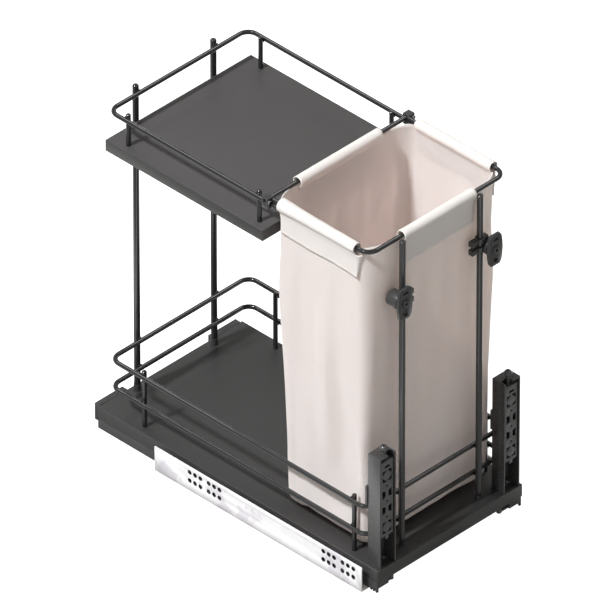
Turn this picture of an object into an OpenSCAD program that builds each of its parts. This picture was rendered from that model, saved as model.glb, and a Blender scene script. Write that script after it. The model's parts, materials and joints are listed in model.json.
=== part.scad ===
// Pull-out storage rack for a 300 mm kitchen base cabinet: a lower shelf on full-extension
// undermount runners, an upper shelf on two posts, wire galleries and a hanging cloth bag.
// X runs across the cabinet, -Y is the way the rack pulls out and +Z is up.

/* [Cabinet] */
// Clear width between the cabinet's side panels
cabinet_w = 268; // [264:1:272]

/* [Lower shelf] */
// Clearance between the shelves and the cabinet's side panels
side_gap = 11; // [10:0.5:14]
// Depth of the lower shelf, front profile included
shelf_d = 471; // [460:1:490]
// Thickness of the lower shelf
shelf_t = 18; // [16:1:20]
// Thickness of the metal profile along the front edge
profile_t = 2; // [1.5:0.5:3]
// Width of each rear bracket
bracket_w = 47; // [40:1:55]
// Depth of each rear bracket behind the shelf
bracket_d = 8.5; // [7:0.5:10]
// Height of each rear bracket
bracket_h = 24; // [20:1:28]

/* [Upper shelf] */
// Depth of the upper shelf
upper_d = 263; // [250:1:270]
// Thickness of the upper shelf
upper_t = 16; // [14:1:18]
// Height of the upper shelf's top above the lower shelf's top
upper_rise = 402; // [390:1:410]

/* [Wire] */
// Diameter of the gallery wire
wire_d = 6; // [4:0.5:7]
// Diameter of the bag frame's wire
frame_d = 6; // [5:0.5:7]
// Diameter of the short gallery posts
stub_d = 6; // [5:0.5:7]
// Diameter of the tall posts and of the front rods
rod_d = 8; // [7:0.5:9]
// Outer bend radius of the galleries, to the wire's centre line
bend_r = 14; // [12:1:18]
// Distance from the shelf's side to the gallery wire's centre line
wire_inset = 5.5; // [5:0.5:7]
// Height of the lower gallery's lower wire above the shelf
low_wire_z = 36.5; // [30:0.5:40]
// Height of the lower gallery's upper wire above the shelf
high_wire_z = 77; // [70:0.5:84]
// How far a short post stands above the top wire's centre line
stub_over = 6; // [5:0.5:8]
// Height of the upper gallery's wire above the upper shelf
upper_wire_z = 40; // [34:0.5:46]

/* [Rods and posts] */
// Distance between the two front rods, and between the two tall posts
rod_gap = 131; // [126:1:136]
// Distance from the shelf's front to the front rods' axes
rod_set = 17.6; // [17:0.1:19]
// Distance from the shelf's rear edge to the tall posts' axes
post_set = 9.7; // [9:0.1:12]
// Height of the rods' and posts' tips above the lower shelf
rod_top = 451; // [440:1:455]
// Height of the socket under each front rod
front_socket_h = 5; // [4:0.5:7]
// Height of the socket under each tall post
rear_socket_h = 10; // [8:0.5:12]

/* [Bag] */
// Distance from the shelf's side to the bag frame's side wires
frame_set = 8; // [7:0.5:10]
// Distance from the bag frame's side wires to the rear hem's ends
rear_hem_set = 46; // [40:1:56]
// Thickness of the cloth as a solid
cloth_t = 1.6; // [1.2:0.1:2]
// Outer radius of the rolled hems
roll_r = 7.75; // [7:0.25:8]
// Height of the hanging hem flaps' lower edge above the lower shelf
flap_z = 406; // [400:1:412]
// Height of the bag's bottom above the lower shelf
bag_z = 4; // [3:1:20]
// Depth of the cloth's folds
fold_d = 2.4; // [1:0.1:3]

/* [Front columns] */
// Height of the columns
column_h = 162; // [150:1:170]
// Width of the columns
column_w = 27; // [25:1:29]
// Depth of the columns
column_d = 20.5; // [19:0.5:21]
// Sheet thickness of the columns
column_t = 2; // [1.5:0.5:2.5]
// Distance from the shelf's side to the column
column_inset = 4; // [3:0.5:5]
// Width of the perforated plate in each column
lattice_w = 20.4; // [19:0.1:21]
// Height of the perforated plate
lattice_h = 110; // [106:1:112]
// Sheet thickness of the perforated plate
lattice_t = 1.8; // [1.5:0.1:2.2]
// Height of the perforated plate's lower edge above the shelf
lattice_z = 44; // [42:1:46]
// Stem diameter of the height screw
screw_d = 5; // [4:0.5:6]

/* [Door clips] */
// Height of the door clips' middle above the lower shelf
clip_z = 368.5; // [340:0.5:390]
// Distance between the rod's axis and the clip's drum axis
clip_off = 10.7; // [10.5:0.1:12]
// Diameter of the clip's drum
drum_d = 20.8; // [19:0.1:21]
// Height of the clip's face plate
face_h = 44.4; // [42:0.1:46]

/* [Runners] */
// Length of the cabinet rail
rail_l = 347; // [340:1:360]
// Distance from the shelf's front to the cabinet rail's front end
rail_set = 17; // [16:0.5:20]
// Height of the cabinet rail's side plate
plate_h = 35.3; // [34:0.1:38]
// Height of the runner under the shelf
runner_h = 15; // [15:0.5:16]
// Sheet thickness of the rails
rail_t = 1.4; // [1.2:0.1:1.5]
// Diameter of the screw holes in the side plate
hole_d = 6.3; // [5:0.1:6.5]
// Diameter of the rollers between the rails
roller_d = 3.44; // [3.3:0.01:3.5]
// Length of the middle rail
middle_l = 320; // [300:1:330]

/* [Hidden] */

$fn = 48;
eps = 0.01;
gap = 0.3;
running = 0.05;

// Distances that carry the wire work, the columns and the runners.
stub_front_set = 51;
stub_rear_set = 68;
upper_stub_front_set = 16.5;
upper_stub_rear_set = 28;
upper_shelf_gap = 1.9;
crossbar_set = 4.5;
crossbar_over = 3;
rail_over = 14;
column_set = 1;
bore_set = 8.6;
drawer_w = 25.6;
lip_gap = 2;
middle_set = 13;

total_d = shelf_d + bracket_d;
front_y = -total_d / 2;
rear_y = front_y + shelf_d;
top_z = runner_h + shelf_t;
half_w = cabinet_w / 2 - side_gap;
rod_r = rod_d / 2;
wire_r = wire_d / 2;
frame_r = frame_d / 2;
stub_r = stub_d / 2;

rod_x = rod_gap / 2;
rod_y = front_y + rod_set;
post_y = rear_y - post_set;
gallery_front_y = rod_y + rod_r + wire_r;
gallery_rear_y = post_y - rod_r - wire_r;
wire_x = half_w - wire_inset;
stub_x = wire_x - wire_r - stub_r;
stub_front_y = front_y + stub_front_set;
stub_rear_y = rear_y - stub_rear_set;

upper_top_z = top_z + upper_rise;
upper_rear_y = post_y - rod_r - upper_shelf_gap;
upper_front_y = upper_rear_y - upper_d;
upper_rail_z = upper_top_z + upper_wire_z;
upper_stub_ys = [upper_front_y + upper_stub_front_set, upper_rear_y - upper_stub_rear_set];

frame_z = upper_rail_z + wire_r + frame_r;
frame_x = half_w - frame_set;
frame_front_y = rod_y + rod_r + frame_r;
crossbar_y = upper_front_y - crossbar_set;
crossbar_x = wire_x + crossbar_over;
rail_end_y = crossbar_y - rail_over;

column_x = half_w - column_inset - column_w / 2;
column_y = front_y + column_set;
column_back_y = column_y + column_d;
bore_y = front_y + bore_set;

plate_x = cabinet_w / 2;
rail_front_y = front_y + rail_set;
drawer_x0 = half_w - drawer_w;
lip_x = drawer_x0 - lip_gap;
middle_x = half_w - middle_set;
lower_roller_z = rail_t + running / 2 + roller_d / 2;
middle_z0 = rail_t + running + roller_d;
middle_z1 = runner_h - rail_t - running - roller_d;
upper_roller_z = runner_h - rail_t - running / 2 - roller_d / 2;
clip_depth = 14.4;

anthracite = [0.29, 0.29, 0.29];
graphite = [0.22, 0.22, 0.23];
zinc = [0.78, 0.79, 0.8];
steel = [0.6, 0.61, 0.62];
plastic = [0.35, 0.35, 0.36];
cream = [0.93, 0.9, 0.86];

// The right-hand copy is drawn as modelled, the left-hand copy mirrored.
module on_side(side) {
  mirror([side < 0 ? 1 : 0, 0, 0]) children();
}

module box(x0, x1, y0, y1, z0, z1) {
  translate([x0, y0, z0]) cube([x1 - x0, y1 - y0, z1 - z0]);
}

module rod_along_x(x0, x1, y, z, r) {
  translate([x0, y, z]) rotate([0, 90, 0]) cylinder(h = x1 - x0, r = r);
}

module rod_along_y(x, y0, y1, z, r) {
  translate([x, y0, z]) rotate([-90, 0, 0]) cylinder(h = y1 - y0, r = r);
}

// A quarter bend about the centre (x, y), from the angle a0 to a0 + 90.
module bend(x, y, z, a0, bend_radius, r) {
  translate([x, y, z])
    rotate([0, 0, a0])
      rotate_extrude(angle = 90) translate([bend_radius, 0]) circle(r = r, $fn = 32);
}

// A closed ring of wire with four bends.
module wire_ring(half_x, y0, y1, z, r) {
  for (s = [-1, 1]) {
    rod_along_y(s * half_x, y0 + bend_r, y1 - bend_r, z, r);
    rod_along_x(-half_x + bend_r, half_x - bend_r, s < 0 ? y0 : y1, z, r);
  }
  bend(half_x - bend_r, y1 - bend_r, z, 0, bend_r, r);
  bend(-half_x + bend_r, y1 - bend_r, z, 90, bend_r, r);
  bend(-half_x + bend_r, y0 + bend_r, z, 180, bend_r, r);
  bend(half_x - bend_r, y0 + bend_r, z, 270, bend_r, r);
}

// A U of wire, open towards open_y, with its closed side at closed_y.
module wire_u(half_x, open_y, closed_y, z, r) {
  way = closed_y > open_y ? 1 : -1;
  inner_y = closed_y - way * bend_r;
  for (s = [-1, 1])
    rod_along_y(s * half_x, min(open_y, inner_y), max(open_y, inner_y), z, r);
  rod_along_x(-half_x + bend_r, half_x - bend_r, closed_y, z, r);
  bend(half_x - bend_r, inner_y, z, way > 0 ? 0 : 270, bend_r, r);
  bend(-half_x + bend_r, inner_y, z, way > 0 ? 90 : 180, bend_r, r);
}

// An upright rod with a domed tip, standing at z0.
module domed_post(x, y, z0, z1, r) {
  dome_h = r * 0.6;
  translate([x, y, 0])
    rotate_extrude()
      polygon(concat(
        [[0, z0], [r, z0]],
        [for (a = [0:10:90]) [r * cos(a), z1 - dome_h + dome_h * sin(a)]]));
}

// Cabinet rail: side plate with screw holes, floor and inner lip.
hole_step = 9.05;
hole_row_gap = 12.1;
hole_first = 13.6;
hole_group_step = 32;
hole_set_step = 224;
hole_top_inset = 8;
hole_upper_z = plate_h - hole_top_inset;
lip_h = 6;
module cabinet_rail(side) {
  color(zinc)
    on_side(side)
      difference() {
        union() {
          box(plate_x - rail_t, plate_x, rail_front_y, rail_front_y + rail_l, 0, plate_h);
          box(lip_x - rail_t, plate_x, rail_front_y, rail_front_y + rail_l, 0, rail_t);
          box(lip_x - rail_t, lip_x, rail_front_y, rail_front_y + rail_l, 0, lip_h);
        }
        for (set = [0, 1], group = [0, 1], i = [0, 1, 2], row = [0, 1])
          translate([plate_x - rail_t - 1,
                     rail_front_y + hole_first + set * hole_set_step
                       + group * hole_group_step + i * hole_step,
                     hole_upper_z - row * hole_row_gap])
            rotate([0, 90, 0]) cylinder(h = rail_t + 2, d = hole_d);
      }
}

// Middle rail: an I section that runs between the two rows of rollers.
flange_t = 1;
web_t = 2;
middle_w = 16;
middle_y0 = rail_front_y + 3;
module middle_rail(side) {
  color(zinc)
    on_side(side) {
      y1 = middle_y0 + middle_l;
      box(middle_x - middle_w / 2, middle_x + middle_w / 2, middle_y0, y1,
          middle_z0, middle_z0 + flange_t);
      box(middle_x - middle_w / 2, middle_x + middle_w / 2, middle_y0, y1,
          middle_z1 - flange_t, middle_z1);
      box(middle_x - web_t / 2, middle_x + web_t / 2, middle_y0, y1,
          middle_z0 + flange_t, middle_z1 - flange_t);
    }
}

// Roller cages: a strip with windows, one roller in each window.
roller_l = 10;
roller_step = 18;
roller_n = 6;
cage_t = 1;
cage_w = 14;
cage_l = roller_step * roller_n;
lower_cage_set = 88;
upper_cage_set = 183;
lower_cage_y = rail_front_y + lower_cage_set;
upper_cage_y = rail_front_y + upper_cage_set;
module cage(side, y0, z) {
  color(plastic)
    on_side(side)
      difference() {
        box(middle_x - cage_w / 2, middle_x + cage_w / 2, y0, y0 + cage_l, z - cage_t / 2, z + cage_t / 2);
        for (i = [0:roller_n - 1])
          translate([middle_x, y0 + (i + 0.5) * roller_step, z])
            cube([roller_l + 0.3, roller_d + 0.3, 2 * cage_t], center = true);
      }
}

module rollers(side, y0, z) {
  color(steel)
    on_side(side)
      for (i = [0:roller_n - 1])
        rod_along_x(middle_x - roller_l / 2, middle_x + roller_l / 2,
                    y0 + (i + 0.5) * roller_step, z, roller_d / 2);
}

// Drawer rail: an inverted channel under the shelf's edge.
drawer_wall_t = 1.2;
outer_skirt_z = 1.9;
inner_skirt_z = 7.5;
drawer_front_y = front_y + clip_depth + gap;
module drawer_rail(side) {
  color(steel)
    on_side(side) {
      box(drawer_x0, half_w, drawer_front_y, rear_y, runner_h - rail_t, runner_h);
      box(half_w - drawer_wall_t, half_w, drawer_front_y, rear_y,
          outer_skirt_z, runner_h - rail_t);
      box(drawer_x0, drawer_x0 + drawer_wall_t, drawer_front_y, rear_y,
          inner_skirt_z, runner_h - rail_t);
    }
}

// Locking clip under the shelf's front corner, with the pin that its lever turns on.
lever_x = half_w - 10;
lever_y = front_y + 9;
pin_r = 1.5;
pin_z0 = 1.2;
clip_z0 = 5.6;
clip_w = 20;
module lock_clip(side) {
  color(plastic)
    on_side(side) {
      box(half_w - clip_w, half_w, front_y + profile_t, front_y + clip_depth, clip_z0, runner_h);
      for (i = [0, 1, 2])
        box(half_w - 3, half_w, front_y + profile_t + i * 4.6,
            front_y + profile_t + 2.6 + i * 4.6, 0.5, clip_z0);
      translate([lever_x, lever_y, pin_z0]) cylinder(h = clip_z0 - pin_z0 + eps, r = pin_r);
    }
}

lever_h = 2.6;
lever_tab_x = half_w - 31;
module lock_lever(side) {
  color([0.45, 0.46, 0.48])
    on_side(side)
      translate([0, 0, clip_z0 - gap - lever_h])
        difference() {
          union() {
            translate([lever_x, lever_y, 0]) cylinder(h = lever_h, r = 3.6);
            box(lever_tab_x, lever_x, lever_y - 2, lever_y + 2, 0, lever_h);
            translate([lever_tab_x, lever_y, 0]) cylinder(h = lever_h + 5, r = 3.2);
          }
          translate([lever_x, lever_y, -1]) cylinder(h = lever_h + 2, r = pin_r + running);
        }
}

module lower_shelf() {
  color(anthracite)
    box(-half_w, half_w, front_y + profile_t, rear_y, runner_h, top_z);
}

module front_profile() {
  color(graphite)
    box(-half_w, half_w, front_y, front_y + profile_t, runner_h, top_z);
}

// Rear bracket: a folded cap on the shelf's rear edge, whose outer cheek reaches further down
// and passes beside the middle rail.
bracket_out = half_w - 3;
cheek_t = 1.8;
module rear_bracket(side) {
  color(steel)
    on_side(side)
      difference() {
        union() {
          box(bracket_out - bracket_w, bracket_out, rear_y, rear_y + bracket_d,
              runner_h + gap, top_z);
          box(bracket_out - cheek_t, bracket_out, rear_y, rear_y + bracket_d,
              top_z - bracket_h, top_z);
        }
        box(bracket_out - bracket_w + cheek_t, bracket_out - cheek_t, rear_y + cheek_t,
            rear_y + bracket_d + 1, runner_h + gap - 1, top_z - cheek_t);
      }
}

module lower_gallery_wire(z) {
  color(graphite) wire_ring(wire_x, gallery_front_y, gallery_rear_y, top_z + z, wire_r);
}

module lower_gallery_posts() {
  color(graphite)
    for (s = [-1, 1], y = [stub_front_y, stub_rear_y])
      domed_post(s * stub_x, y, top_z, top_z + high_wire_z + stub_over, stub_r);
}

// Tab behind each column that reaches back to the gallery's wires, with a wide head above them.
tab_w = 12;
head_z = high_wire_z + 8.5;
head_over = 1.6;
tab_h = head_z + 28;
module gallery_tab(side) {
  color(graphite)
    on_side(side)
      difference() {
        union() {
          box(column_x - tab_w / 2, column_x + tab_w / 2, column_back_y,
              gallery_front_y, top_z, top_z + tab_h);
          box(column_x - column_w / 2, column_x + column_w / 2 + head_over, column_back_y,
              gallery_front_y, top_z + head_z, top_z + tab_h);
        }
        for (z = [low_wire_z, high_wire_z])
          rod_along_x(column_x - tab_w, column_x + tab_w, gallery_front_y, top_z + z, wire_r);
      }
}

module tall_post(side) {
  color(graphite)
    domed_post(side * rod_x, post_y, top_z + rear_socket_h, top_z + rod_top, rod_r);
}

module post_sockets() {
  color(anthracite)
    for (s = [-1, 1]) {
      translate([s * rod_x, post_y, top_z]) cylinder(h = rear_socket_h, r = rod_r + 0.5);
      translate([s * rod_x, rod_y, top_z]) cylinder(h = front_socket_h, r = rod_r - 0.5);
    }
}

module upper_shelf() {
  color(anthracite)
    box(-half_w, half_w, upper_front_y, upper_rear_y, upper_top_z - upper_t, upper_top_z);
}

module upper_gallery_wire() {
  color(graphite) wire_u(wire_x, rail_end_y, gallery_rear_y, upper_rail_z, wire_r);
}

module upper_gallery_posts() {
  color(graphite)
    for (s = [-1, 1], y = upper_stub_ys)
      domed_post(s * stub_x, y, upper_top_z, upper_rail_z + stub_over, stub_r);
}

// Screws from below into each short post of the upper shelf, with flat heads.
head_r = 4.5;
head_h = 1.4;
module post_screws() {
  color(steel)
    for (s = [-1, 1], y = upper_stub_ys)
      translate([s * stub_x, y, upper_top_z - upper_t - head_h]) cylinder(h = head_h, r = head_r);
}

// Front rod: a round rod with a tapered foot, up to the middle of the bag frame's wire.
foot_h = 6;
tip_down = 4.5;
module front_rod(side) {
  color(graphite)
    translate([side * rod_x, rod_y, 0])
      rotate_extrude()
        polygon([[0, top_z + front_socket_h], [rod_r - 1.5, top_z + front_socket_h],
                 [rod_r, top_z + front_socket_h + foot_h],
                 [rod_r, top_z + rod_top - tip_down - 1],
                 [rod_r - 1, top_z + rod_top - tip_down], [0, top_z + rod_top - tip_down]]);
}

module bag_frame_wire() {
  color(graphite)
    wire_u(frame_x, crossbar_y - frame_r, frame_front_y, frame_z, frame_r);
}

module bag_crossbar() {
  color(graphite) rod_along_x(-crossbar_x, crossbar_x, crossbar_y, frame_z, frame_r);
}

// Cross clip: a block round the crossing of the gallery wire and the crossbar.
cross_w = 10;
cross_h = 15;
module cross_clip(side) {
  color(plastic)
    on_side(side)
      difference() {
        translate([wire_x + 1.5, crossbar_y, (upper_rail_z + frame_z) / 2])
          cube([cross_w, cross_w, cross_h], center = true);
        rod_along_y(wire_x, crossbar_y - cross_w, crossbar_y + cross_w, upper_rail_z, wire_r);
        rod_along_x(wire_x - cross_w, wire_x + cross_w, crossbar_y, frame_z, frame_r);
        rod_along_y(frame_x, crossbar_y - cross_w, crossbar_y, frame_z, frame_r);
      }
}

module cross_clip_screws() {
  color(steel)
    for (s = [-1, 1])
      translate([s * (wire_x + 4), crossbar_y - cross_w / 2, frame_z - 0.5])
        rotate([90, 0, 0]) cylinder(h = 2, r = 2.4);
}

// The bag: a folded tube of cloth with a round-edged bottom, as one closed solid.
side_pts = 8;
corner_pts = 4;
ring_pts = 4 * (side_pts + corner_pts);
fold_n = 10;
bag_r = 20;
bag_levels = [frame_z - roll_r - gap - 0.1, top_z + 420, top_z + 370, top_z + 300, top_z + 230,
              top_z + 160, top_z + 90, top_z + 40, top_z + bag_z + 8, top_z + bag_z + 2.5,
              top_z + bag_z];
bag_taper = [0, 0.2, 1.5, 3, 4, 5, 6.2, 6.8, 7.4, 11, 24];
bag_folds = [0, 0.3, 0.8, 1, 1, 1, 1, 0.9, 0.6, 0.3, 0];
bag_half_x = frame_x - 0.4;
bag_front_y = frame_front_y + 0.1;
bag_rear_y = crossbar_y - 0.4;
bag_mid_y = (bag_front_y + bag_rear_y) / 2;
bag_half_y = (bag_rear_y - bag_front_y) / 2;

// One point and outward normal of a rounded rectangle, at the position i of its ring.
function ring_entry(i, hx, hy, r) =
  let (k = floor(i / (side_pts + corner_pts)),
       j = i % (side_pts + corner_pts),
       a = 90 * k,
       along = k % 2 == 0 ? hy - r : hx - r,
       out = k % 2 == 0 ? hx : hy,
       t = -1 + 2 * min(j, side_pts) / side_pts,
       turn = j <= side_pts ? 0 : 90 * (j - side_pts) / corner_pts,
       lx = out - r + r * cos(turn),
       ly = along * t + r * sin(turn))
  [lx * cos(a) - ly * sin(a), lx * sin(a) + ly * cos(a), cos(a + turn), sin(a + turn)];

function bag_ring(level, inset) =
  let (shrink = bag_taper[level] + inset,
       z = bag_levels[level] + (level == len(bag_levels) - 1 ? inset : 0))
  [for (i = [0:ring_pts - 1])
    let (e = ring_entry(i, bag_half_x - shrink, bag_half_y - shrink, max(8, bag_r - shrink * 1.3)),
         dent = bag_folds[level] * fold_d * (0.5 - 0.5 * cos(360 * i * fold_n / ring_pts)))
    [e[0] - dent * e[2], bag_mid_y + e[1] - dent * e[3], z]];

module bag() {
  n = ring_pts;
  levels = len(bag_levels);
  outer = [for (l = [0:levels - 1]) each bag_ring(l, 0)];
  inner = [for (l = [0:levels - 1]) each bag_ring(l, cloth_t)];
  base = levels * n;
  pts = concat(outer, inner, [[0, bag_mid_y, bag_levels[levels - 1]],
                              [0, bag_mid_y, bag_levels[levels - 1] + cloth_t]]);
  skin = [for (l = [0:levels - 2], i = [0:n - 1])
            let (a = l * n + i, b = l * n + (i + 1) % n, c = a + n, d = b + n)
            each [[a, b, d], [a, d, c],
                  [base + a, base + d, base + b], [base + a, base + c, base + d]]];
  rim = [for (i = [0:n - 1])
           let (j = (i + 1) % n)
           each [[i, base + i, base + j], [i, base + j, j]]];
  last = (levels - 1) * n;
  floor_faces = [for (i = [0:n - 1])
                   let (j = (i + 1) % n)
                   each [[last + i, last + j, 2 * base],
                         [base + last + j, base + last + i, 2 * base + 1]]];
  color(cream) polyhedron(points = pts, faces = concat(skin, rim, floor_faces));
}

// Rolled hems round the frame, each with its flap hanging outside the bag.
roll_bore_r = frame_r + gap;
flap_t = 1.6;
side_hem_y0 = front_y + 44;
side_hem_y1 = rail_end_y - 5;
front_hem_x = rod_x - rod_r - 1;
rear_hem_x = frame_x - rear_hem_set;
module hem_along_x(half_x, y, way) {
  difference() {
    union() {
      rod_along_x(-half_x, half_x, y, frame_z, roll_r);
      box(-half_x, half_x, min(y + way * gap, y + way * (gap + flap_t)),
          max(y + way * gap, y + way * (gap + flap_t)), top_z + flap_z, frame_z - frame_r - 1);
    }
    rod_along_x(-half_x - 1, half_x + 1, y, frame_z, roll_bore_r);
  }
}

module bag_hems() {
  color(cream) {
    hem_along_x(front_hem_x, frame_front_y, -1);
    hem_along_x(rear_hem_x, crossbar_y, 1);
    for (s = [-1, 1])
      on_side(s)
        difference() {
          union() {
            rod_along_y(frame_x, side_hem_y0, side_hem_y1, frame_z, roll_r);
            box(frame_x + gap, frame_x + gap + flap_t, side_hem_y0, side_hem_y1,
                top_z + flap_z, frame_z - frame_r - 1);
          }
          rod_along_y(frame_x, side_hem_y0 - 1, side_hem_y1 + 1, frame_z, roll_bore_r);
        }
  }
}

// Front column: an upright channel, open to the front, with a notched cap and a foot plate.
foot_d = 8;
module column(side) {
  x0 = column_x - column_w / 2;
  x1 = column_x + column_w / 2;
  z1 = top_z + column_h;
  color(graphite)
    on_side(side) {
      box(x0, x0 + column_t, column_y, column_back_y, top_z, z1 - column_t);
      box(x1 - column_t, x1, column_y, column_back_y, top_z, z1 - column_t);
      box(x0 + column_t, x1 - column_t, column_back_y - column_t, column_back_y,
          top_z, z1 - column_t);
      box(x0 + column_t, x1 - column_t, column_back_y - column_t - foot_d,
          column_back_y - column_t, top_z, top_z + column_t);
      difference() {
        box(x0, x1, column_y, column_back_y, z1 - column_t, z1);
        translate([column_x, bore_y, z1 - column_t - 1])
          cylinder(h = column_t + 2, r = screw_d / 2 + running);
        box(x0 + column_t, column_x, column_y - 1, bore_y + 1,
            z1 - column_t - 1, z1 + 1);
      }
    }
}

module column_screws() {
  color(steel)
    for (s = [-1, 1], dx = [-6, 6])
      translate([s * column_x + dx, column_back_y - column_t - foot_d / 2, top_z + column_t])
        cylinder(h = 2, r = 3);
}

// Perforated plate with two wings that slide in the column and a threaded lug at the top.
wing_d = 9;
lattice_y = front_y + 2.6;
lug_h = 4;
slot_down = 8.5;
spoke_down = [22, 97.5];
pin_down = [37, 59.75, 82.5];
bow_down = [48.5, 71.5];
spoke_w = 2.4;
field_w = 15;
field_h = 16.6;
disc_r = 6.7;
pin_hole_r = 1.5;
module lattice_holes() {
  translate([0, lattice_h - slot_down]) square([8, 3.4], center = true);
  for (down = spoke_down)
    translate([0, lattice_h - down])
      difference() {
        square([field_w, field_h], center = true);
        circle(r = disc_r);
        square([spoke_w, field_h + 2], center = true);
        square([field_w + 2, spoke_w], center = true);
      }
  for (down = pin_down)
    translate([0, lattice_h - down]) circle(r = pin_hole_r);
  for (down = bow_down, s = [-1, 1])
    translate([0, lattice_h - down])
      polygon([[s * 7.8, -6], [s * 2.4, -4], [s * 2.4, 4], [s * 7.8, 6]]);
}

module lattice_plate(side) {
  z0 = top_z + lattice_z;
  color(steel)
    on_side(side)
      difference() {
        union() {
          translate([column_x, lattice_y + lattice_t, z0])
            rotate([90, 0, 0])
              linear_extrude(lattice_t)
                difference() {
                  union() {
                    translate([-lattice_w / 2, 0]) square([lattice_w, lattice_h]);
                    translate([-2.5, -5]) square([5, 6]);
                  }
                  lattice_holes();
                }
          for (s = [-1, 1])
            translate([column_x + s * (lattice_w - lattice_t) / 2 - lattice_t / 2,
                       lattice_y + lattice_t - eps, z0])
              cube([lattice_t, wing_d + eps, lattice_h]);
          box(column_x - lattice_w / 2, column_x + lattice_w / 2, lattice_y + lattice_t - eps,
              lattice_y + lattice_t + wing_d, z0 + lattice_h - lug_h, z0 + lattice_h);
        }
        translate([column_x, bore_y, z0 + lattice_h - lug_h - 1])
          cylinder(h = lug_h + 2, r = screw_d / 2 + running);
      }
}

// Height screw: a domed head above the cap, a collar under it and a long stem.
screw_neck = 7;
screw_head_h = 5;
screw_head_r = 5.3;
screw_low_z = top_z + lattice_z + lattice_h - 32;
module height_screw(side) {
  cap_z = top_z + column_h;
  color(zinc)
    translate([side * column_x, bore_y, 0]) {
      difference() {
        rotate_extrude()
          polygon(concat(
            [[0, screw_low_z], [screw_d / 2, screw_low_z], [screw_d / 2, cap_z + screw_neck],
             [screw_head_r, cap_z + screw_neck]],
            [for (a = [10:16:90])
              [screw_head_r * cos(a), cap_z + screw_neck + screw_head_h * sin(a)]]));
        translate([0, 0, cap_z + screw_neck + screw_head_h - 2])
          cylinder(h = 4, d = 4, $fn = 6);
      }
      for (z = [cap_z + 0.2, cap_z - column_t - 1.4])
        translate([0, 0, z]) cylinder(h = 1.2, r = screw_d / 2 + 1);
    }
}

// Door clip: a drum beside the rod, two rings round the rod and a fork beyond it. The left
// clip is turned over, so its rings sit below the drum's axis.
clip_x = rod_x + clip_off;
clip_front_y = rod_y - 12;
drum_back_y = rod_y + 7;
neck_d = 15;
neck_l = 2.7;
ring_t = 7;
ring_zs = [0.5, 12.5];
fork_l = 12;
fork_t = 7;
cam_r = 3;
module clip_body(side) {
  zc = top_z + clip_z;
  color(plastic)
    on_side(side)
      difference() {
        union() {
          rod_along_y(clip_x, clip_front_y, clip_front_y + neck_l + 1, zc, neck_d / 2);
          rod_along_y(clip_x, clip_front_y + neck_l, drum_back_y, zc, drum_d / 2);
          for (dz = ring_zs)
            translate([0, rod_y, zc + side * dz]) {
              translate([rod_x, 0, -ring_t / 2]) cylinder(h = ring_t, r = rod_r + 2);
              box(rod_x - rod_r - fork_l, clip_x, -fork_t / 2, fork_t / 2,
                  -ring_t / 2, ring_t / 2);
            }
        }
        translate([rod_x, rod_y, zc - face_h]) cylinder(h = 2 * face_h, r = rod_r + running);
        rod_along_y(clip_x, clip_front_y - 1, drum_back_y + 1, zc, cam_r + running);
      }
}

// Face plate of the door clip, with a slot above and a screw hole below its middle.
face_t = 4;
face_side = [[7, 1], [9.8, 0.81], [11.4, 0.41], [12, 0], [11.4, -0.41], [9.8, -0.81], [7, -1]];
face_slot_down = 7;
face_hole_up = 7.5;
face_hole_r = 2.6;
module clip_face(side) {
  half_h = face_h / 2;
  color(steel)
    on_side(side)
      translate([clip_x, clip_front_y, top_z + clip_z])
        rotate([90, 0, 0])
          linear_extrude(face_t)
            difference() {
              polygon(concat([for (p = face_side) [p[0], p[1] * half_h]],
                             [for (p = face_side) [-p[0], -p[1] * half_h]]));
              circle(r = cam_r + running);
              translate([0, half_h - face_slot_down]) square([9, 3.4], center = true);
              translate([0, -half_h + face_hole_up]) circle(r = face_hole_r);
            }
}

module cam_screw(side) {
  zc = top_z + clip_z;
  color(zinc)
    on_side(side)
      difference() {
        union() {
          rod_along_y(clip_x, clip_front_y - face_t - 1.4, rod_y - 2, zc, cam_r);
          rod_along_y(clip_x, clip_front_y - face_t - 1.6, clip_front_y - face_t - gap / 3,
                      zc, 5.2);
        }
        translate([clip_x, clip_front_y - face_t - 3, zc])
          rotate([-90, 0, 0]) cylinder(h = 5, d = 4.2, $fn = 6);
      }
}

cabinet_rail(-1);  // cabinet_rail_left
cabinet_rail(1);  // cabinet_rail_right
middle_rail(-1);  // middle_rail_left
middle_rail(1);  // middle_rail_right
cage(-1, lower_cage_y, lower_roller_z);  // lower_cage_left
cage(1, lower_cage_y, lower_roller_z);  // lower_cage_right
cage(-1, upper_cage_y, upper_roller_z);  // upper_cage_left
cage(1, upper_cage_y, upper_roller_z);  // upper_cage_right
rollers(-1, lower_cage_y, lower_roller_z);  // lower_rollers_left
rollers(1, lower_cage_y, lower_roller_z);  // lower_rollers_right
rollers(-1, upper_cage_y, upper_roller_z);  // upper_rollers_left
rollers(1, upper_cage_y, upper_roller_z);  // upper_rollers_right
drawer_rail(-1);  // drawer_rail_left
drawer_rail(1);  // drawer_rail_right
lock_clip(-1);  // lock_clip_left
lock_clip(1);  // lock_clip_right
lock_lever(-1);  // lock_lever_left
lock_lever(1);  // lock_lever_right
lower_shelf();
front_profile();
rear_bracket(-1);  // rear_bracket_left
rear_bracket(1);  // rear_bracket_right
lower_gallery_wire(low_wire_z);  // lower_gallery_low_wire
lower_gallery_wire(high_wire_z);  // lower_gallery_high_wire
lower_gallery_posts();
gallery_tab(-1);  // gallery_tab_left
gallery_tab(1);  // gallery_tab_right
tall_post(-1);  // tall_post_left
tall_post(1);  // tall_post_right
post_sockets();
upper_shelf();
upper_gallery_wire();
upper_gallery_posts();
front_rod(-1);  // front_rod_left
front_rod(1);  // front_rod_right
bag_frame_wire();
bag_crossbar();
cross_clip(-1);  // cross_clip_left
cross_clip(1);  // cross_clip_right
cross_clip_screws();
bag();
bag_hems();
column(-1);  // column_left
column(1);  // column_right
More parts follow.
